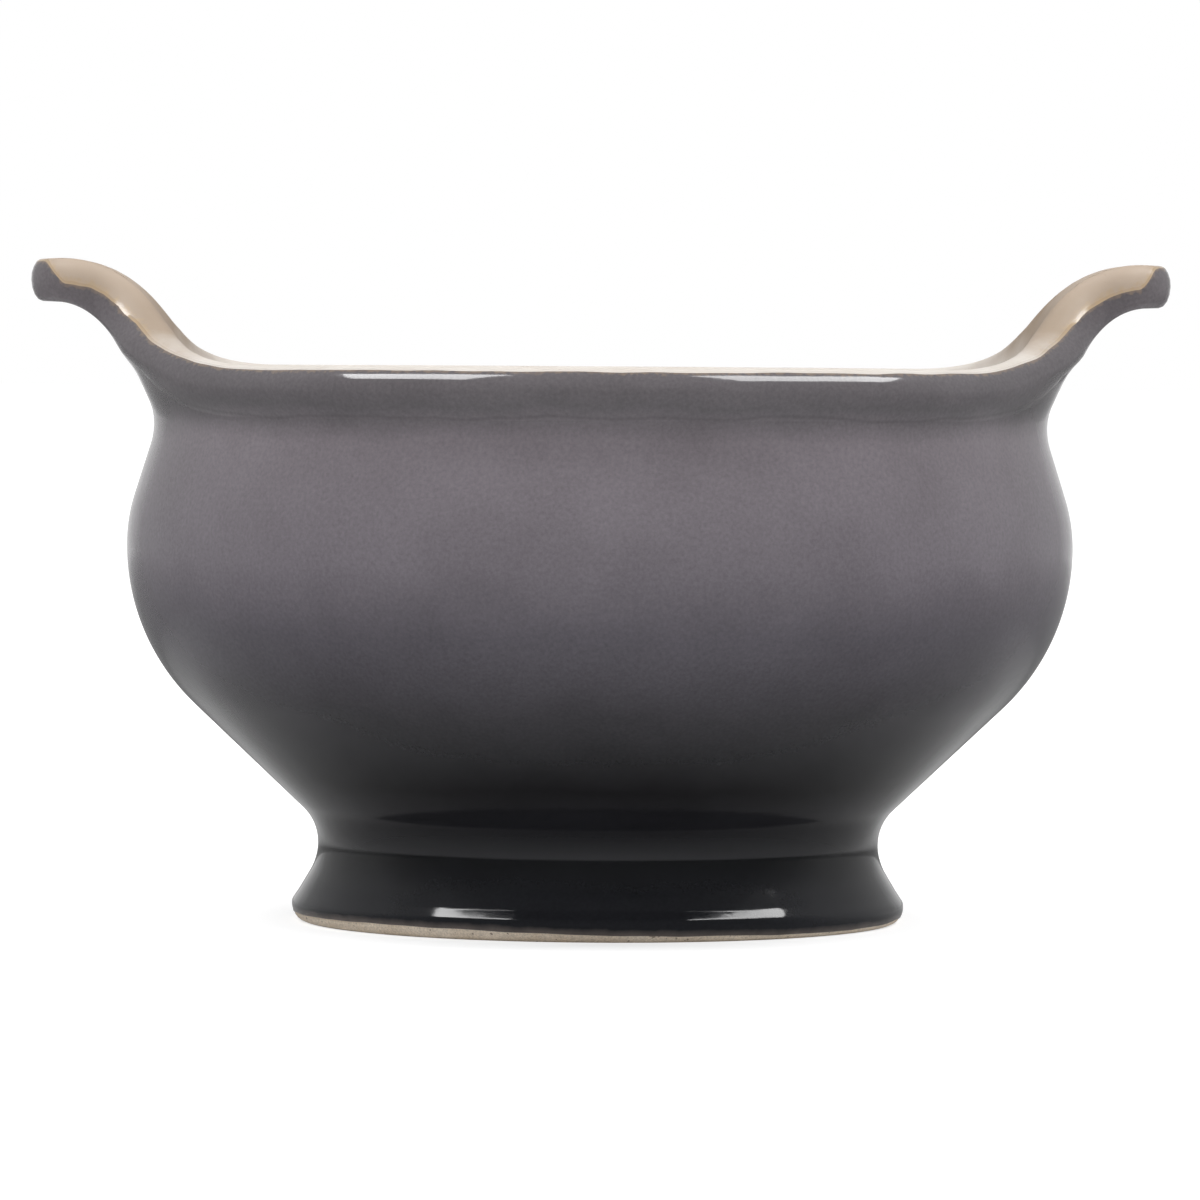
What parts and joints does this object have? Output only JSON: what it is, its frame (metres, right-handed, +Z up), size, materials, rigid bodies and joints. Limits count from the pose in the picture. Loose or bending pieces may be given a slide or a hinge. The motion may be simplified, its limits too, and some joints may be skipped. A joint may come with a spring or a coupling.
{
  "type": "soup bowl",
  "caption": "Footed stoneware soup bowl with a rounded belly, a flared lip and curled ear handles, cream glazed inside and dark glazed outside.",
  "frame": {"origin": "middle of the standing ring, on the table plane", "axes": "+Z up along the bowl's axis, +X from the left ear to the right ear, +Y away from the viewer of the picture"},
  "size_m": [0.172, 0.1428, 0.0995],
  "materials": {
    "stoneware": "bare fired clay",
    "cream_glaze": "gloss",
    "dark_glaze": "gloss",
    "base_glaze": "gloss"
  },
  "bodies": {
    "root": {"bowl_wall": "stoneware", "foot_ring": "stoneware", "left_ear": "stoneware", "right_ear": "stoneware", "interior_glaze": "cream_glaze", "exterior_glaze": "dark_glaze", "base_glaze": "base_glaze"}
  },
  "joints": []
}
